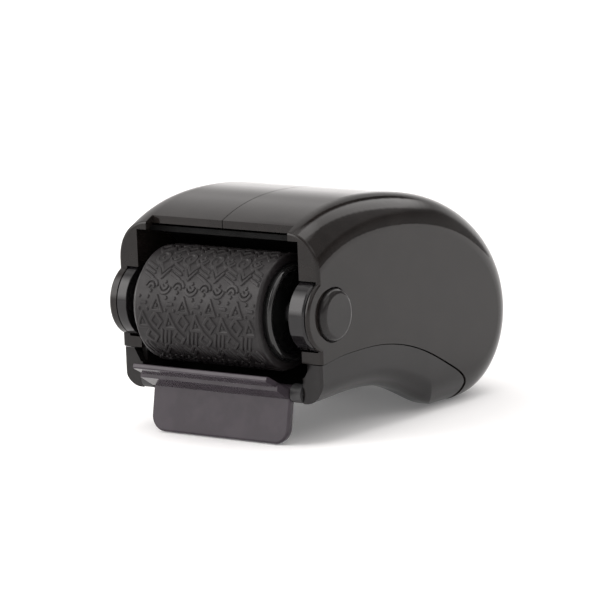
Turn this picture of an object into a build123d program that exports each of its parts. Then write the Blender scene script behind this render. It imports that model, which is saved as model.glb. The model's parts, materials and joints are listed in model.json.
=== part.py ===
from build123d import *
import os
from math import sin, cos, tan, radians, sqrt

os.makedirs("parts", exist_ok=True)

# Rolling privacy ink stamp: palm-sized housing with an embossed ink roller in
# an open bay at the front. Lengths in mm. X = width, front faces -Y, +Z up.
# Working frame while modelling: roller axis on Y = Z = 0. Everything is moved
# at the end so that the part stands on Z = 0 and is centred in X and Y.

# ---------------- driving dimensions ----------------
ROLLER_W = 38.3          # width of the stamping sleeve
ROLLER_R = 14.85         # outer radius of the stamping sleeve
FELT_R = 12.0            # outer radius of the ink felt
CORE_R = 8.0             # outer radius of the roller core
AXLE_R = 2.0
BORE_R = 2.06            # running bore of the core on the axle
FLANGE_R = 12.3

HALF_W = 30.95           # half width of the upper shells
COVER_HALF_W = 30.6      # half width of the bottom cover
WALL = 2.0
SHOULDER_R = 9.0         # rounding along the top, back and lobe edges
RIM_R = 5.0              # rounding along the underside edges
FRONT_EDGE_R = 0.8
FRONT_Y = -4.25          # front plane at the roller axis height
FRONT_LEAN = 1.2         # degrees, top leans forward
FLOOR_Z = -33.0          # lowest line of the profile
REST_Z = -32.85          # plane the feet are cut to, what the part stands on
SEAM_GAP = 0.11          # half of the gap between the two shells
PART_GAP = 0.24          # gap between shells and bottom cover

BAY_HALF = 24.9          # half width of the roller bay
BAY_TOP = 18.8
BAY_BOTTOM = -21.3
LIP_HALF = 21.9
LIP_SETBACK = 3.0
LIP_UNDER = 20.2

EAR_R = 9.5              # round ears that carry the roller cartridge
EAR_TOP = 9.0
EAR_BOT = -9.15
BUTTON_R = 6.7
BUTTON_H = 1.7           # how far the button stands proud
BUTTON_TRAVEL = 1.0
BUTTON_Y = 1.5           # button sits a little behind the roller axis

PIN_Y, PIN_Z = -2.6, -19.9   # flap hinge pin
PIN_R = 0.95
FLAP_HALF = 21.2
FLAP_T = 2.2
BAR_HALF = 20.6

TOP_PTS = [(-4.68, 20.75), (-0.37, 22.7), (4.47, 24.3), (9.44, 25.43), (14.49, 26.13), (19.21, 26.47),
           (24.31, 26.55), (29.4, 26.37), (34.49, 25.99), (39.19, 25.45), (44.23, 24.68), (49.23, 23.68),
           (54.17, 22.41), (58.67, 20.95), (63.4, 19.04), (67.95, 16.75), (72.27, 14.05), (76.02, 11.16),
           (79.66, 7.59), (82.77, 3.56), (85.19, -0.92), (86.66, -5.41), (87.28, -10.47), (86.79, -15.53),
           (85.17, -20.35), (82.71, -24.39), (79.15, -28.03), (74.86, -30.75), (70.06, -32.43), (65.0, -33.0)]
LOBE_BACK_Y = 65.0
LOBE_FRONT_Y = 58.0
ARCH_PTS = [(-6.0, -22.3), (-1.71, -22.16), (2.75, -21.96), (7.04, -21.76), (11.5, -21.63), (15.95, -21.65),
            (20.24, -21.88), (24.67, -22.4), (28.89, -23.21), (33.18, -24.4), (37.37, -25.93), (41.31, -27.64),
            (45.36, -29.51), (49.32, -31.18), (53.58, -32.48), (58.0, -33.0)]
PARTING_PTS = [(0.5, -11.5), (5, -10.95), (12.5, -10.7), (19, -10.75), (26.5, -11.45),
               (36.3, -13.6), (46.2, -17.3), (55, -21.7), (60.6, -25.1), (62.7, -27.3),
               (63.2, -29.5)]
RECESS_PTS = [(27, -21.9), (38, -23.6), (47, -25.6), (55, -27.7), (61, -29.3), (66.5, -30.2)]
RECESS_END = (72.0, -30.5)
RECESS_HALF = 22.0
RECESS_T = 2.0


def front_y(z):
    return FRONT_Y - z * tan(radians(FRONT_LEAN))


def v(y, z):
    return Vector(0, y, z)


def face_of(edges):
    return Face(Wire(edges))


def prism(face, x0, x1):
    return extrude(face.moved(Location((x0, 0, 0))), amount=x1 - x0, dir=(1, 0, 0))


def poly(pts):
    return Face(Wire([Line(v(*a), v(*b)) for a, b in zip(pts, pts[1:] + pts[:1])]))


def rod(r, x0, x1, y=0.0, z=0.0):
    c = Cylinder(r, x1 - x0, align=(Align.CENTER, Align.CENTER, Align.MIN))
    return Location((x0, y, z)) * (Rotation(0, 90, 0) * c)


def post(r, x, y, z0, z1):
    return Location((x, y, z0)) * Cylinder(r, z1 - z0, align=(Align.CENTER, Align.CENTER, Align.MIN))


def box(x0, x1, y0, y1, z0, z1):
    return Location((x0, y0, z0)) * Box(x1 - x0, y1 - y0, z1 - z0, align=(Align.MIN, Align.MIN, Align.MIN))


# ---------------- outer envelope ----------------
def inset(curve, t, side, step=4.0):
    """Smooth curve a distance t beside the given one (side +1 right, -1 left of travel)."""
    n = int(curve.length / step) + 1
    pts = []
    for i in range(n + 1):
        p, d = curve @ (i / n), curve % (i / n)
        pts.append(v(p.Y + side * d.Z * t, p.Z - side * d.Y * t))
    return Spline(pts)


def upper_profile(t=0):
    c = v(front_y(FLOOR_Z), FLOOR_Z)
    flat = [v(y, FLOOR_Z) for y in (60.5, 56, 50, 42, 32, 20, 8)]
    top = Spline([v(*p) for p in TOP_PTS] + flat + [c])
    if t > 0:
        top = inset(top, t, 1)
    return face_of([top, Line(top @ 1, top @ 0)])


def lower_profile(t=0):
    pre = [v(y, -22.3 - (-6.0 - y) * 0.02) for y in (-40, -30, -22, -16, -11)]
    post_ = [v(y, FLOOR_Z) for y in (62, 67, 74, 84, 98, 120)]
    arch = Spline(pre + [v(*p) for p in ARCH_PTS] + post_)
    if t > 0:
        arch = inset(arch, t, -1)
    p0, p3 = arch @ 0, arch @ 1
    return face_of([arch, Line(p3, v(120, 60)), Line(v(120, 60), v(-40, 60)), Line(v(-40, 60), p0)])


def side_edges(solid, hw, keep):
    out = []
    for e in solid.edges():
        bb = e.bounding_box()
        if abs(abs(bb.min.X) - hw) < 1e-4 and abs(bb.max.X - bb.min.X) < 1e-4 and keep(bb, e):
            out.append(e)
    return out


def envelope(t, hw, rt, rb, front_round):
    fa = upper_profile(t)
    fb = lower_profile(t)
    a = prism(fa, -hw, hw)
    ea = side_edges(a, hw, lambda bb, e: bb.max.Y > 10)
    a = fillet(ea, rt)
    if front_round > 0:
        fr = sorted(a.faces(), key=lambda f: f.center().Y)[0]
        es = [e for e in fr.edges() if e.bounding_box().max.Z > FLOOR_Z + 12]
        a = fillet(es, front_round)
    b = prism(fb, -hw, hw)
    eb = side_edges(b, hw, lambda bb, e: bb.max.Z < -15)
    b = fillet(eb, rb)
    keep = Location((0, 40, REST_Z + t)) * Box(200, 300, 200, align=(Align.CENTER, Align.CENTER, Align.MIN))
    out = a & b & keep
    if t > 0:
        out &= prism(poly([(front_y(60) + t, 60), (front_y(-60) + t, -60), (200, -60), (200, 60)]), -60, 60)
    return out


E = envelope(0, HALF_W, SHOULDER_R, RIM_R, FRONT_EDGE_R)
E_IN = envelope(WALL, HALF_W - WALL, SHOULDER_R - WALL, RIM_R - WALL, 0)
EC = envelope(0, COVER_HALF_W, SHOULDER_R, RIM_R, FRONT_EDGE_R)
EC_IN = envelope(WALL, COVER_HALF_W - WALL, SHOULDER_R - WALL, RIM_R - WALL, 0)


def below_parting(dz, dy):
    p0 = v(-12, -11.9 + dz)
    p1 = v(-3.5, -11.9 + dz)
    pts = [v(y + (dy if y > 58 else dy * max(0, (y - 30) / 28)), z + dz) for y, z in PARTING_PTS]
    last = pts[-1]
    s = Spline([p1] + pts, tangents=[(0, 1, 0), (0, 0, -1)])
    low = v(last.Y, -45)
    q = v(-12, -45)
    return face_of([Line(p0, p1), s, Line(last, low), Line(low, q), Line(q, p0)])


BELOW_SHELL = prism(below_parting(0, 0), -40, 40)
BELOW_COVER = prism(below_parting(-PART_GAP, -PART_GAP), -40, 40)


def recess_face(d):
    p0 = v(17 - d, -21.2 + d)
    ye, ze = RECESS_END
    if d > 0:                      # the inner wall leans with the back of the housing
        ye, ze = ye + d, ze + d + 0.3
    pe = v(ye, ze)
    pts = [v(y, z + d) for y, z in RECESS_PTS]
    s = Spline([p0] + pts + [pe])
    return face_of([s, Line(pe, v(ye, -45)), Line(v(ye, -45), v(17 - d, -45)), Line(v(17 - d, -45), p0)])


RECESS = prism(recess_face(0), -RECESS_HALF, RECESS_HALF)
RECESS_OUT = prism(recess_face(RECESS_T), -RECESS_HALF - RECESS_T, RECESS_HALF + RECESS_T)

# openings of the roller bay in the front wall
BAY_CUT = box(-BAY_HALF, BAY_HALF, -12, 1.0, BAY_BOTTOM, BAY_TOP)
LIP_CUT = box(-LIP_HALF, LIP_HALF, -12, 3.0, BAY_TOP - 1, LIP_UNDER) + \
    box(-LIP_HALF, LIP_HALF, -12, front_y(22) + LIP_SETBACK, BAY_TOP - 1, 40)
EAR_SLOT = box(-28.5, -BAY_HALF + 1, -12, 0.5, EAR_BOT, EAR_TOP) + box(BAY_HALF - 1, 29.95, -12, 0.5, EAR_BOT, EAR_TOP)

# ---------------- upper shells ----------------
plates = box(BAY_HALF, BAY_HALF + 1.5, -3.0, 22.0, -18, 25) + box(-BAY_HALF - 1.5, -BAY_HALF, -3.0, 22.0, -18, 25)
plates -= rod(9.8, -30, 30)
plates -= box(-30, 30, 0, 22.6, -7.0, 7.0)
# screw positions: x, y, height of the seat under the screw head
POSTS = [(-12, 26, -21.7), (12, 26, -21.7), (-12, 44, -24.5), (12, 44, -24.5)]

shell = (E - E_IN) + (plates & E) + (RECESS_OUT & E)
for (x, y, z) in POSTS:
    shell += post(2.9, x, y, z - 1, 30) & E
shell -= prism(recess_face(RECESS_T + 0.1), -RECESS_HALF - RECESS_T - 0.1, RECESS_HALF + RECESS_T + 0.1) & box(-40, 40, -20, 50, -60, 0)
shell -= RECESS
for (x, y, z) in POSTS:
    shell -= post(1.1, x, y, z - 1, z + 13)
# seam dowel bosses
PINS = [(34.0, 20.0), (70.0, 3.0), (76.0, -22.0)]
for (y, z) in PINS:
    shell += rod(3.0, -6, 6, y, z) & E
# rib that ties each boss to the outer wall
shell += box(-5, 5, 33.2, 34.8, 20, 30) & E
shell += box(-5, 5, 70, 90, 2.2, 3.8) & E
shell += box(-5, 5, 76, 95, -22.8, -21.2) & E
for (y, z) in PINS:
    shell -= rod(1.26, -4.1, 4.1, y, z)

shell -= BAY_CUT
shell -= LIP_CUT
shell -= rod(9.8, -28.5, 29.95)
shell -= EAR_SLOT
shell -= BELOW_SHELL


def ear(x0, x1, r, edge_x, f):
    d = rod(r, x0, x1)
    es = [e for e in d.edges() if abs(e.center().X - edge_x) < 1e-3 and e.geom_type == GeomType.CIRCLE]
    return fillet(es, f)


ear_l = ear(-HALF_W, -28.5, EAR_R, -HALF_W, 0.9)
ear_r = ear(29.95, HALF_W, EAR_R, HALF_W, 0.7)
# the ears grow out of the side walls only in front of the wall
cut_back = box(-40, 40, 1.0, 40, -40, 40)
shell += (ear_l - cut_back)
shell += (ear_r - cut_back)
# closed skin behind the ears, so the side faces stay whole
shell -= rod(BUTTON_R + 0.3, 29, 33, BUTTON_Y)
shell -= rod(3.02, -33, -28, BUTTON_Y)

left_housing_shell = shell & box(-40, -SEAM_GAP, -60, 120, -60, 60)
right_housing_shell = shell & box(SEAM_GAP, 40, -60, 120, -60, 60)

# ---------------- bottom cover ----------------
cover = (EC - EC_IN) + (RECESS_OUT & EC)
cover -= RECESS
cplates = box(BAY_HALF, BAY_HALF + 1.5, -3.0, 20.0, -22.5, -10) + box(-BAY_HALF - 1.5, -BAY_HALF, -3.0, 20.0, -22.5, -10)
cover += cplates & EC
cover -= box(-BAY_HALF, BAY_HALF, -12, 0.6, -40, 10)
cover &= BELOW_COVER
# three-cornered relief in the front faces beside the bay
for sx in (1, -1):
    tri = [(sx * 24.8, -5, -11.0), (sx * 27.3, -5, -12.3), (sx * 25.4, -5, -15.6), (sx * 24.8, -5, -15.6)]
    w = Wire([Line(Vector(*p), Vector(*q)) for p, q in zip(tri, tri[1:] + tri[:1])])
    cover -= extrude(Face(w), amount=3.2, dir=(0, 1, 0))
cover -= rod(PIN_R + 0.02, -27, 27, PIN_Y, PIN_Z)
for (x, y, z) in POSTS:
    cover -= post(1.25, x, y, z - 6, z + 4)
    cover -= post(2.35, x, y, z - 8, z)
bottom_cover = cover

# ---------------- bay liner behind the roller ----------------
LINER_Z, LINER_R, LINER_T = -1.2, 19.0, 1.4
liner = rod(LINER_R + LINER_T, -24.7, 24.7, 0, LINER_Z) - rod(LINER_R, -26, 26, 0, LINER_Z)
liner = liner & box(-30, 30, 0.9, 60, -40, 40)
liner -= box(-30, 30, -5, 60, -40, -19.5)
bay_liner = liner

# ---------------- roller cartridge frame ----------------
disc_l = rod(EAR_R, -28.3, -25.3)
disc_l = fillet([e for e in disc_l.edges() if e.geom_type == GeomType.CIRCLE], 0.25)
drum_r = rod(EAR_R - 0.1, 24.7, 29.6)
drum_r = fillet([e for e in drum_r.edges() if e.geom_type == GeomType.CIRCLE and e.center().X > 28], 0.9)
drum_r = fillet([e for e in drum_r.edges() if e.geom_type == GeomType.CIRCLE and e.center().X < 25], 0.25)
frame = disc_l + drum_r
frame += box(-28.2, -26.6, 4, 22.1, -6.5, 6.5) + box(26.6, 28.2, 4, 22.1, -6.5, 6.5)
frame += box(-28.2, 28.2, 20.6, 22.1, -6.5, 6.5)
frame -= rod(4.0, -30, -24)
frame -= rod(4.0, 24, 28)
frame -= rod(7.5, 26.4, 30, BUTTON_Y)
cartridge_frame = frame


def tube(ro, ri, x0, x1):
    return rod(ro, x0, x1) - rod(ri, x0 - 1, x1 + 1)


left_axle_bush = tube(3.98, 2.01, -28.2, -25.3)
right_axle_bush = tube(3.98, 2.01, 24.7, 26.3)
roller_axle = rod(AXLE_R, -28.0, 26.3)
roller_axle = fillet([e for e in roller_axle.edges() if e.geom_type == GeomType.CIRCLE], 0.4)
axle_spacers = [tube(3.4, 2.01, -25.1, -20.0), tube(3.4, 2.01, 20.0, 24.5)]

# ---------------- roller ----------------
H = ROLLER_W / 2
roller_core = tube(CORE_R, BORE_R, -H, H)
lighten = None
for k in range(6):
    a = radians(60 * k + 30)
    h = rod(1.45, -H - 1, H + 1, 5.0 * cos(a), 5.0 * sin(a))
    roller_core -= h
ink_felt_sleeve = tube(FELT_R, CORE_R, -H, H)
stamp_sleeve = tube(ROLLER_R, FELT_R, -H, H)
stamp_sleeve = chamfer([e for e in stamp_sleeve.edges() if e.geom_type == GeomType.CIRCLE and abs(e.radius - ROLLER_R) < 1e-3], 0.7)


def flange(sgn):
    x0, x1 = (H, H + 1.5)
    f = rod(FLANGE_R, x0, x1) - rod(9.9, x0 + 0.6, x1 + 1) - rod(3.7, x0 - 1, x1 + 1)
    es = [e for e in f.edges() if e.geom_type == GeomType.CIRCLE and abs(e.center().X - x1) < 1e-3]
    f = fillet(es, 0.55)
    if sgn < 0:
        f = mirror(f, about=Plane.YZ)
    return f


right_roller_flange = flange(1)
left_roller_flange = flange(-1)

# ---------------- release button, spring, left cap ----------------
button = rod(BUTTON_R, 29.0, HALF_W + BUTTON_H, BUTTON_Y)
button = fillet([e for e in button.edges() if e.geom_type == GeomType.CIRCLE and e.center().X > 31], 1.5)
button += rod(7.2, 29.0, 29.7, BUTTON_Y)
button -= rod(4.9, 28.5, 30.6, BUTTON_Y)
release_button = button
hel = Helix(pitch=0.88, height=2.2, radius=6.0, center=(0, 0, 0), direction=(0, 0, 1))
coil = sweep(Plane(origin=hel @ 0, z_dir=hel % 0) * Circle(0.17), path=Wire([hel]))
button_spring = Location((26.59, BUTTON_Y, 0)) * (Rotation(0, 90, 0) * coil)

cap = rod(BUTTON_R, -HALF_W - BUTTON_H, -HALF_W, BUTTON_Y)
cap = fillet([e for e in cap.edges() if e.geom_type == GeomType.CIRCLE and e.center().X < -32], 1.5)
cap += rod(3.0, -HALF_W - 0.1, -28.7, BUTTON_Y)
left_pivot_cap = cap

# ---------------- guard flap ----------------
# section in the YZ plane: barrel round the pin, tab hanging down, thin bar
# reaching forward and up
a_top = (-4.15, -19.7)
a_bot = (-6.35, REST_Z)
dy, dz = a_bot[0] - a_top[0], a_bot[1] - a_top[1]
L = sqrt(dy * dy + dz * dz)
ny, nz = -dz / L, dy / L          # towards the back
if ny < 0:
    ny, nz = -ny, -nz
tab_face = poly([a_top, a_bot, (a_bot[0] + ny * FLAP_T, a_bot[1] + nz * FLAP_T + 0.55), (a_top[0] + ny * FLAP_T, a_top[1] + nz * FLAP_T)])
tab = prism(tab_face, -FLAP_HALF, FLAP_HALF)
corner = [e for e in tab.edges() if e.geom_type == GeomType.LINE and abs(abs(e.center().X) - FLAP_HALF) < 1e-3
          and e.center().Z < -32.0 and e.length < 3.0]
tab = fillet(corner, 4.0)
rimF = [e for e in tab.edges() if e.center().Z < -20.5 and e.length > 3.5]
tab = fillet(rimF, 0.6)
b0 = (-3.6, -18.9)
b1 = (-13.25, -13.95)
bl = sqrt((b1[0] - b0[0]) ** 2 + (b1[1] - b0[1]) ** 2)
by, bz = (b1[1] - b0[1]) / bl, -(b1[0] - b0[0]) / bl
if bz > 0:
    by, bz = -by, -bz
BAR_T = 1.4
bar_face = poly([b0, b1, (b1[0] + by * BAR_T, b1[1] + bz * BAR_T), (b0[0] + by * BAR_T, b0[1] + bz * BAR_T)])
bar = prism(bar_face, -BAR_HALF, BAR_HALF)
bar = fillet([e for e in bar.edges() if e.length > 30 and e.center().Y < -12], 0.45)
# stiffening step under the bar, next to the tab
s0 = (-3.9, -19.0)
step_face = poly([s0, (-9.6, -16.6), (-9.9, -18.3), (-4.6, -21.3)])
step = prism(step_face, -FLAP_HALF, FLAP_HALF)
barrel = rod(1.95, -FLAP_HALF, FLAP_HALF, PIN_Y, PIN_Z)
web = prism(poly([(-4.4, -19.6), (-3.2, -18.4), (-2.6, -18.2), (-2.2, -21.6), (-4.3, -21.0)]), -FLAP_HALF, FLAP_HALF)
flap = tab + bar + step + barrel + web
flap -= rod(PIN_R + 0.06, -30, 30, PIN_Y, PIN_Z)
guard_flap = flap

flap_hinge_pin = rod(PIN_R, -26.2, 26.2, PIN_Y, PIN_Z)
flap_hinge_pin = fillet([e for e in flap_hinge_pin.edges() if e.geom_type == GeomType.CIRCLE], 0.2)
hinge_washers = [tube(2.4, 1.05, -24.7, -21.5).moved(Location((0, PIN_Y, PIN_Z))),
                 tube(2.4, 1.05, 21.5, 24.7).moved(Location((0, PIN_Y, PIN_Z)))]

# ---------------- fasteners ----------------
locating_pins = [rod(1.24, -4.0, 4.0, y, z) for (y, z) in PINS]
cover_screws = []
for (x, y, z) in POSTS:
    s = post(1.08, x, y, z - 0.5, z + 11) + post(2.2, x, y, z - 1.3, z - 0.02)
    s -= box(x - 1.5, x + 1.5, y - 0.3, y + 0.3, z - 3, z - 0.8)
    s -= box(x - 0.3, x + 0.3, y - 1.5, y + 1.5, z - 3, z - 0.8)
    cover_screws.append(s)

# ---------------- write the nodes ----------------
NODES = {
    "left_housing_shell": left_housing_shell,
    "right_housing_shell": right_housing_shell,
    "bottom_cover": bottom_cover,
    "bay_liner": bay_liner,
    "cartridge_frame": cartridge_frame,
    "left_axle_bush": left_axle_bush,
    "right_axle_bush": right_axle_bush,
    "roller_axle": roller_axle,
    "axle_spacers": axle_spacers,
    "roller_core": roller_core,
    "ink_felt_sleeve": ink_felt_sleeve,
    "stamp_sleeve": stamp_sleeve,
    "left_roller_flange": left_roller_flange,
    "right_roller_flange": right_roller_flange,
    "release_button": release_button,
    "button_spring": button_spring,
    "left_pivot_cap": left_pivot_cap,
    "guard_flap": guard_flap,
    "flap_hinge_pin": flap_hinge_pin,
    "hinge_washers": hinge_washers,
    "locating_pins": locating_pins,
    "cover_screws": cover_screws,
}

# stand on Z = 0, centre in Y (roller front to the back of the housing)
REAR_Y = E.bounding_box().max.Y
SHIFT_Y = -(REAR_Y - ROLLER_R) / 2
SHIFT = Location((0, SHIFT_Y, -REST_Z))
print("shift_y", SHIFT_Y, "rear", REAR_Y)

for name, shp in NODES.items():
    parts = shp if isinstance(shp, list) else [shp]
    solids = []
    for q in parts:
        solids += list(q.solids())
    out = solids[0] if len(solids) == 1 else Compound(children=solids)
    export_step(out.moved(SHIFT), "parts/%s.step" % name)
    print(name, len(solids))
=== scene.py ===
import json
import math
import random

import bpy
import numpy as np
from mathutils import Matrix, Vector


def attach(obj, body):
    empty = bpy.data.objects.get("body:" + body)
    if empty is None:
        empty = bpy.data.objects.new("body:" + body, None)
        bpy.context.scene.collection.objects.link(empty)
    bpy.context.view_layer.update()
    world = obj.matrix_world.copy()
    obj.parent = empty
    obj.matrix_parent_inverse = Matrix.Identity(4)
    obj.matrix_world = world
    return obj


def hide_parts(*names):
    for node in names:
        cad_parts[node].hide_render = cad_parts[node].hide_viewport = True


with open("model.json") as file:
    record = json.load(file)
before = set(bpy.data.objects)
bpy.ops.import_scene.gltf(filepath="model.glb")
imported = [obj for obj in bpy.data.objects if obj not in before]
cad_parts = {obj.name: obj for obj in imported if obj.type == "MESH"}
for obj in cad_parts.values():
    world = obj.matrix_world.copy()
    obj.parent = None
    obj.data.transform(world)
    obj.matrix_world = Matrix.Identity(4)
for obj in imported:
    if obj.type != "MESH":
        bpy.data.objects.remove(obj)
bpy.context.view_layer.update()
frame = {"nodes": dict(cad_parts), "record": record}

scene = bpy.context.scene

# ------------------------------------------------------------------ shared sizes (mm, as in the CAD)
SHIFT_Y = -36.21629
SHIFT_Z = 32.85
SLEEVE_HALF = 19.15
SLEEVE_IN = 12.02
SLEEVE_BASE = 14.56
EMBOSS = 0.34


def W(x, y, z):
    """Working-frame mm (roller axis at Y = Z = 0) to metres in the row frame."""
    return Vector((x / 1000, (y + SHIFT_Y) / 1000, (z + SHIFT_Z) / 1000))


# ------------------------------------------------------------------ node helpers
class Tree:
    def __init__(self, tree):
        self.t = tree
        self.n = tree.nodes
        self.l = tree.links

    def node(self, kind, **props):
        o = self.n.new(kind)
        for k, val in props.items():
            setattr(o, k, val)
        return o

    def link(self, a, b):
        self.l.new(a, b)

    def math(self, op, a, b=None, clamp=False):
        m = self.node("ShaderNodeMath", operation=op, use_clamp=clamp)
        for i, q in enumerate((a, b)):
            if q is None:
                continue
            if isinstance(q, (int, float)):
                m.inputs[i].default_value = q
            else:
                self.link(q, m.inputs[i])
        return m.outputs[0]

    def ramp(self, value, a, b, lo=0.0, hi=1.0):
        m = self.node("ShaderNodeMapRange", interpolation_type="SMOOTHSTEP", clamp=True)
        m.inputs[1].default_value = a
        m.inputs[2].default_value = b
        m.inputs[3].default_value = lo
        m.inputs[4].default_value = hi
        self.link(value, m.inputs[0])
        return m.outputs[0]


def noise(t, scale, detail=4.0, rough=0.5, coord="Object"):
    tc = t.node("ShaderNodeTexCoord")
    nz = t.node("ShaderNodeTexNoise")
    nz.inputs["Scale"].default_value = scale
    nz.inputs["Detail"].default_value = detail
    nz.inputs["Roughness"].default_value = rough
    t.link(tc.outputs[coord], nz.inputs["Vector"])
    return nz.outputs[0]


def material(name, c0, c1, rough, bump=(900.0, 0.02), metal=0.0, ior=1.5, coat=0.0, wave=None, spec=0.25, mid=180.0):
    """Principled surface: two close colours mixed by a noise, roughness that wanders, fine bump."""
    m = bpy.data.materials.new(name)
    m.use_nodes = True
    t = Tree(m.node_tree)
    b = m.node_tree.nodes["Principled BSDF"]
    b.inputs["Metallic"].default_value = metal
    b.inputs["IOR"].default_value = ior
    b.inputs["Specular IOR Level"].default_value = spec
    if coat:
        b.inputs["Coat Weight"].default_value = coat
        b.inputs["Coat Roughness"].default_value = 0.04
    n1 = noise(t, mid, 5.0)
    mix = t.node("ShaderNodeMix", data_type="RGBA")
    mix.inputs[6].default_value = (*c0, 1)
    mix.inputs[7].default_value = (*c1, 1)
    t.link(t.ramp(n1, 0.35, 0.65), mix.inputs[0])
    t.link(mix.outputs[2], b.inputs["Base Color"])
    n2 = noise(t, mid * 0.6, 6.0, 0.6)
    t.link(t.ramp(n2, 0.3, 0.7, rough[0], rough[1]), b.inputs["Roughness"])
    n3 = noise(t, bump[0], 4.0, 0.55)
    h = n3
    if wave:
        tc = t.node("ShaderNodeTexCoord")
        wv = t.node("ShaderNodeTexWave", bands_direction=wave[0])
        wv.inputs["Scale"].default_value = wave[1]
        wv.inputs["Distortion"].default_value = 0.4
        t.link(tc.outputs["Object"], wv.inputs["Vector"])
        h = t.math("ADD", n3, wv.outputs["Fac"])
    bp = t.node("ShaderNodeBump")
    bp.inputs["Strength"].default_value = bump[1]
    bp.inputs["Distance"].default_value = 0.0004
    t.link(h, bp.inputs["Height"])
    t.link(bp.outputs[0], b.inputs["Normal"])
    return m


G0, G1 = (0.0080, 0.0064, 0.0058), (0.0110, 0.0090, 0.0082)
MATS = {
    "shell": material("gloss_black_shell", G0, G1, (0.07, 0.12), bump=(260.0, 0.012)),
    "cover": material("gloss_black_cover", (0.009, 0.0082, 0.0082), (0.0125, 0.0115, 0.0117), (0.10, 0.15), bump=(300.0, 0.018)),
    "liner": material("liner_black", (0.002, 0.002, 0.002), (0.004, 0.004, 0.004), (0.5, 0.65), bump=(1400.0, 0.1), spec=0.12),
    "cartridge": material("cartridge_gloss", (0.007, 0.0064, 0.007), (0.010, 0.0092, 0.010), (0.08, 0.13), bump=(380.0, 0.012), spec=0.36),
    "bush": material("bush_nylon", (0.03, 0.03, 0.031), (0.045, 0.044, 0.045), (0.35, 0.5), bump=(1500.0, 0.08)),
    "steel": material("ground_steel", (0.42, 0.42, 0.43), (0.56, 0.56, 0.57), (0.18, 0.34), bump=(2200.0, 0.06), metal=1.0, wave=("X", 900.0)),
    "core": material("core_plastic", (0.018, 0.018, 0.019), (0.028, 0.028, 0.029), (0.3, 0.45), bump=(1200.0, 0.06)),
    "felt": material("ink_felt", (0.003, 0.003, 0.004), (0.012, 0.012, 0.014), (0.85, 1.0), bump=(3200.0, 0.8), spec=0.2, mid=900.0),
    "stamp_rubber": material("stamp_rubber", (0.0085, 0.0072, 0.0076), (0.0125, 0.0108, 0.0113), (0.40, 0.52), bump=(2600.0, 0.08), spec=0.3, mid=420.0),
    "flange": material("flange_gloss", (0.003, 0.003, 0.003), (0.006, 0.006, 0.006), (0.24, 0.34), bump=(420.0, 0.02), spec=0.1),
    "button": material("button_gloss", (0.010, 0.009, 0.009), (0.014, 0.0128, 0.0125), (0.07, 0.11), bump=(300.0, 0.01)),
    "spring": material("spring_wire", (0.46, 0.46, 0.48), (0.6, 0.6, 0.62), (0.15, 0.28), bump=(2600.0, 0.05), metal=1.0),
    "flap": material("flap_gloss", (0.034, 0.028, 0.034), (0.042, 0.035, 0.042), (0.14, 0.2), bump=(240.0, 0.01)),
    "screw": material("zinc_screw", (0.3, 0.3, 0.31), (0.42, 0.42, 0.43), (0.25, 0.4), bump=(2400.0, 0.1), metal=1.0),
}

slot_of = {s["node"]: s["material_slot"] for s in frame["record"]["subparts"]}
for name, ob in frame["nodes"].items():
    mat = MATS[slot_of[name]]
    if not ob.material_slots:
        ob.data.materials.append(mat)
    for ms in ob.material_slots:
        ms.material = mat


# ------------------------------------------------------------------ embossed stamping sleeve
def seg(p, a, b):
    """Distance from points p (n, 2) to segment a-b."""
    a, b = np.array(a, float), np.array(b, float)
    d = b - a
    t = np.clip(((p - a) @ d) / max(d @ d, 1e-9), 0, 1)
    return np.linalg.norm(p - a - t[:, None] * d, axis=1)


def arc(p, c, r, a0, a1):
    """Distance to an arc of centre c and radius r from angle a0 to a1, radians, a1 > a0."""
    q = p - np.array(c, float)
    ang = np.mod(np.arctan2(q[:, 1], q[:, 0]) - a0, 2 * math.pi)
    inside = ang <= (a1 - a0)
    d = np.abs(np.linalg.norm(q, axis=1) - r)
    e0 = np.array([math.cos(a0), math.sin(a0)]) * r
    e1 = np.array([math.cos(a1), math.sin(a1)]) * r
    dd = np.minimum(np.linalg.norm(q - e0, axis=1), np.linalg.norm(q - e1, axis=1))
    return np.where(inside, d, dd)


def least(*ds):
    out = ds[0]
    for d in ds[1:]:
        out = np.minimum(out, d)
    return out


# abstract marks in a unit box: chevrons, diamonds, rings, slashes, dots, arcs, steps
MARKS = [
    lambda p: least(seg(p, (-.5, .12), (0, -.5)), seg(p, (0, -.5), (.5, .12)), seg(p, (-.5, .5), (0, -.08)), seg(p, (0, -.08), (.5, .5))),
    lambda p: least(seg(p, (-.5, 0), (0, -.5)), seg(p, (0, -.5), (.5, 0)), seg(p, (.5, 0), (0, .5)), seg(p, (0, .5), (-.5, 0))),
    lambda p: least(arc(p, (0, 0), .46, 0, 2 * math.pi - 1e-4), seg(p, (0, 0), (0, .01))),
    lambda p: least(seg(p, (-.55, -.45), (-.15, .45)), seg(p, (-.2, -.45), (.2, .45)), seg(p, (.15, -.45), (.55, .45))),
    lambda p: least(arc(p, (-.1, 0), .22, -1.3, 1.3), arc(p, (-.1, 0), .5, -1.2, 1.2), seg(p, (-.32, 0), (-.31, 0))),
    lambda p: least(seg(p, (-.5, -.45), (.5, -.45)), seg(p, (.5, -.45), (0, .45)), seg(p, (0, .45), (-.5, -.45)), seg(p, (0, -.12), (0, -.11))),
    lambda p: least(seg(p, (-.38, -.38), (-.37, -.38)), seg(p, (.38, -.38), (.37, -.38)), seg(p, (-.38, .38), (-.37, .38)), seg(p, (.38, .38), (.37, .38)), seg(p, (-.2, 0), (.2, 0))),
    lambda p: least(seg(p, (-.55, .3), (-.28, -.3)), seg(p, (-.28, -.3), (0, .3)), seg(p, (0, .3), (.28, -.3)), seg(p, (.28, -.3), (.55, .3))),
]


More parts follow.
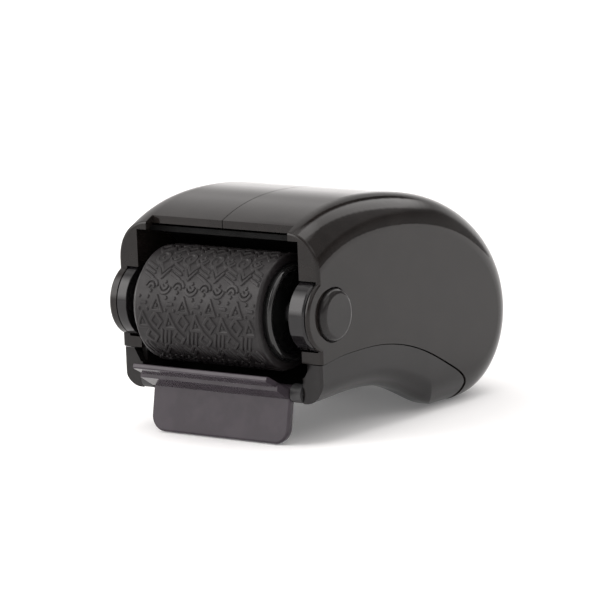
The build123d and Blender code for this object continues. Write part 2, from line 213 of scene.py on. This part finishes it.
def sleeve_mesh():
    rng = random.Random(41)
    nx, ns = 380, 900
    xs = np.linspace(-SLEEVE_HALF, SLEEVE_HALF, nx)
    circ = 2 * math.pi * SLEEVE_BASE
    ss = np.arange(ns) / ns * circ
    H = np.zeros((ns, nx))
    rows = 21
    pitch_s = circ / rows
    pitch_x = 4.12
    stroke = 0.31
    edge = 0.16
    # the same band of marks repeats every second column, as a printed pattern does
    for r in range(rows):
        marks = [rng.randrange(len(MARKS)) for _ in range(2)]
        turns = [rng.choice((0, 0, 0, 1, 2, 3)) for _ in range(2)]
        off = (r % 2) * 0.5 * pitch_x + rng.uniform(-0.5, 0.5)
        flip = rng.choice((-1, 1))
        for c in range(-6, 7):
            cx = c * pitch_x + off
            if abs(cx) > SLEEVE_HALF - 1.0:
                continue
            cs = (r + 0.5) * pitch_s
            k = c % 2
            hx, hs = 3.5, 4.1
            i0 = np.searchsorted(xs, cx - 3.4)
            i1 = np.searchsorted(xs, cx + 3.4)
            j = np.where(np.abs((ss - cs + circ / 2) % circ - circ / 2) < 3.6)[0]
            if i1 <= i0 or len(j) == 0:
                continue
            X, S = np.meshgrid(xs[i0:i1] - cx, (ss[j] - cs + circ / 2) % circ - circ / 2)
            p = np.stack([X.ravel() * flip / hx, S.ravel() / hs], 1)
            for _ in range(turns[k]):
                p = np.stack([p[:, 1], -p[:, 0]], 1)
            d = MARKS[marks[k]](p) * 0.5 * (hx + hs)
            h = np.clip((stroke + edge - d) / edge, 0, 1)
            h = h * h * (3 - 2 * h)
            H[np.ix_(j, np.arange(i0, i1))] = np.maximum(H[np.ix_(j, np.arange(i0, i1))], h.reshape(X.shape))
    # plain margins at both ends
    m = np.clip((SLEEVE_HALF - 1.0 - np.abs(xs)) / 0.25, 0, 1)
    H *= m[None, :]
    R = SLEEVE_BASE + EMBOSS * H
    # rounded rims
    e = np.clip((np.abs(xs) - (SLEEVE_HALF - 0.8)) / 0.8, 0, 1)
    R = R - (1 - np.sqrt(np.clip(1 - e ** 2, 0, 1)))[None, :] * 0.75
    th = ss / SLEEVE_BASE
    # columns around the section: inner left, end left, outer grid, end right, inner right
    cols_x = np.concatenate([[-SLEEVE_HALF, -SLEEVE_HALF], xs, [SLEEVE_HALF, SLEEVE_HALF]])
    RR = np.concatenate([np.full((ns, 1), SLEEVE_IN), np.full((ns, 1), SLEEVE_IN + 0.9), R, np.full((ns, 1), SLEEVE_IN + 0.9), np.full((ns, 1), SLEEVE_IN)], 1)
    nc = RR.shape[1]
    Y = -np.cos(th)[:, None] * RR
    Z = np.sin(th)[:, None] * RR
    Xg = np.broadcast_to(cols_x[None, :], RR.shape)
    V = np.stack([Xg / 1000, (Y + SHIFT_Y) / 1000, (Z + SHIFT_Z) / 1000], -1).reshape(-1, 3)
    j, i = np.meshgrid(np.arange(ns), np.arange(nc), indexing="ij")
    a = j * nc + i
    b = j * nc + (i + 1) % nc
    c = ((j + 1) % ns) * nc + (i + 1) % nc
    d = ((j + 1) % ns) * nc + i
    F = np.stack([a, d, c, b], -1).reshape(-1, 4)
    me = bpy.data.meshes.new("stamp_sleeve_embossed")
    me.from_pydata(V.tolist(), [], F.tolist())
    me.update()
    me.shade_smooth()
    ob = bpy.data.objects.new("stamp_sleeve_embossed", me)
    scene.collection.objects.link(ob)
    return ob


sleeve = sleeve_mesh()
sleeve.data.materials.append(MATS["stamp_rubber"])
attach(sleeve, "roller")
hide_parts("stamp_sleeve")

# ------------------------------------------------------------------ polished rounded rings on the roller's flanges
RING_GLOSS = material("ring_gloss", (0.006, 0.006, 0.006), (0.010, 0.0095, 0.0095), (0.09, 0.15), bump=(500.0, 0.012), spec=0.5)


def flange_ring(side):
    """Rounded, slightly stepped ring standing on the flange, swept round the roller axis."""
    prof = []
    for k in range(13):
        a = math.pi * k / 12
        prof.append((20.55 + 0.75 * math.sin(a), 11.35 + 0.80 * math.cos(a)))
    prof += [(20.55, 10.45), (20.30, 10.40), (20.15, 10.55), (20.15, 12.10), (20.45, 12.17)]
    ns = 160
    V, F = [], []
    for j in range(ns):
        a = 2 * math.pi * j / ns
        for x, q in prof:
            V.append(tuple(W(side * x, -q * math.cos(a), q * math.sin(a))))
    m = len(prof)
    for j in range(ns):
        for i in range(m):
            f = [j * m + i, ((j + 1) % ns) * m + i, ((j + 1) % ns) * m + (i + 1) % m, j * m + (i + 1) % m]
            F.append(f if side < 0 else f[::-1])
    me = bpy.data.meshes.new("flange_ring")
    me.from_pydata(V, [], F)
    me.update()
    me.shade_smooth()
    ob = bpy.data.objects.new("left_flange_ring" if side < 0 else "right_flange_ring", me)
    scene.collection.objects.link(ob)
    ob.data.materials.append(RING_GLOSS)
    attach(ob, "roller")


flange_ring(1)
flange_ring(-1)

# ------------------------------------------------------------------ floor
bpy.ops.mesh.primitive_plane_add(size=6.0, location=(0, 0, -0.0002))
floor = bpy.context.object
floor.name = "floor"
fm = bpy.data.materials.new("pale_floor")
fm.use_nodes = True
ft = Tree(fm.node_tree)
fb = fm.node_tree.nodes["Principled BSDF"]
fb.inputs["Roughness"].default_value = 0.9
fb.inputs["Specular IOR Level"].default_value = 0.15
fb.inputs["Emission Color"].default_value = (1, 1, 1, 1)
fb.inputs["Emission Strength"].default_value = 0.12
fmix = ft.node("ShaderNodeMix", data_type="RGBA")
fmix.inputs[6].default_value = (0.93, 0.93, 0.93, 1)
fmix.inputs[7].default_value = (0.95, 0.95, 0.95, 1)
ft.link(noise(ft, 6.0), fmix.inputs[0])
ft.link(fmix.outputs[2], fb.inputs["Base Color"])
floor.data.materials.append(fm)

# ------------------------------------------------------------------ studio light: a soft white room with two large soft boxes
world = bpy.data.worlds.new("studio")
scene.world = world
world.use_nodes = True
wt = Tree(world.node_tree)
bg = world.node_tree.nodes["Background"]
tc = wt.node("ShaderNodeTexCoord")
sep = wt.node("ShaderNodeSeparateXYZ")
wt.link(tc.outputs["Generated"], sep.inputs[0])
az = wt.math("MULTIPLY", wt.math("ARCTAN2", sep.outputs[0], sep.outputs[1]), 180 / math.pi)
el = wt.math("MULTIPLY", wt.math("ARCSINE", sep.outputs[2]), 180 / math.pi)


def patch(a0, a1, e0, e1, wa=4.0, we=4.0):
    """1 inside the given azimuths and elevations (degrees), fading out over wa and we."""
    f = wt.math("MULTIPLY", wt.ramp(az, a0 - wa, a0 + wa), wt.ramp(az, a1 - wa, a1 + wa, 1, 0))
    g = wt.math("MULTIPLY", wt.ramp(el, e0 - we, e0 + we), wt.ramp(el, e1 - we, e1 + we, 1, 0))
    return wt.math("MULTIPLY", f, g)


def strip(x0, x1, e0, w=0.03, we=3.0):
    """1 behind the object between two values of the direction's X and above e0 degrees."""
    f = wt.math("MULTIPLY", wt.ramp(sep.outputs[0], x0 - w, x0 + w), wt.ramp(sep.outputs[0], x1 - w, x1 + w, 1, 0))
    g = wt.math("MULTIPLY", wt.ramp(sep.outputs[1], 0.0, 0.12), wt.ramp(el, e0 - we, e0 + we))
    return wt.math("MULTIPLY", f, g)


def plus(a, b, k):
    return wt.math("ADD", a, wt.math("MULTIPLY", b, k))


base = wt.math("ADD", 0.42, wt.ramp(el, 3.0, 20.0, 1.0, 0.14))       # low glow along the back wall
base = plus(base, patch(-95, -33, 18, 58, 6, 6), 0.5)                 # left wall
dim = wt.math("SUBTRACT", 1.0, wt.math("MULTIPLY", patch(6, 70, -6, 20, 5, 4), 0.72))
dark = wt.math("SUBTRACT", 1.0, wt.math("MULTIPLY", strip(-0.31, -0.18, 20), 0.92))
total = wt.math("MULTIPLY", wt.math("MULTIPLY", base, dark), dim)
total = plus(total, patch(-162, -102, 3, 56, 8, 3), 1.2)              # front left soft box, brighter towards its top
total = plus(total, patch(-156, -110, 10, 48, 8, 7), 3.2)
total = plus(total, strip(-0.15, 0.24, 22, 0.04, 4.0), 1.7)          # back soft box
total = plus(total, patch(75, 150, 32, 58, 10, 6), 1.1)               # right fill
total = plus(total, wt.ramp(el, 58, 68), 1.3)                         # overhead soft box
wt.link(total, bg.inputs["Strength"])
bg.inputs["Color"].default_value = (1.0, 0.975, 0.965, 1)

# ------------------------------------------------------------------ camera at the photograph's viewing angle
A, EL, ROLL = 0.6108652, 0.1698145, -0.0277183
F_PX, DIST, H0, V0 = 4138.06, 1044.517, -17.9689, -1.58999
ca, sa, ce, se = math.cos(A), math.sin(A), math.cos(EL), math.sin(EL)
r = Vector((ca, sa, 0))
n = Vector((-sa * ce, ca * ce, -se))
u = r.cross(n)
r2 = math.cos(ROLL) * r + math.sin(ROLL) * u
u2 = -math.sin(ROLL) * r + math.cos(ROLL) * u
pos = -H0 * r2 - V0 * u2 - DIST * n
cam_data = bpy.data.cameras.new("camera")
cam_data.sensor_width = 36.0
cam_data.lens = F_PX / 600.0 * 36.0
cam_data.clip_start = 0.05
cam_data.clip_end = 50.0
cam = bpy.data.objects.new("camera", cam_data)
scene.collection.objects.link(cam)
mat = Matrix((r2, u2, -n)).transposed().to_4x4()
mat.translation = W(*pos)
cam.matrix_world = mat
scene.camera = cam
bpy.context.scene.camera = cam
scene.view_settings.view_transform = "Standard"
scene.view_settings.look = "None"

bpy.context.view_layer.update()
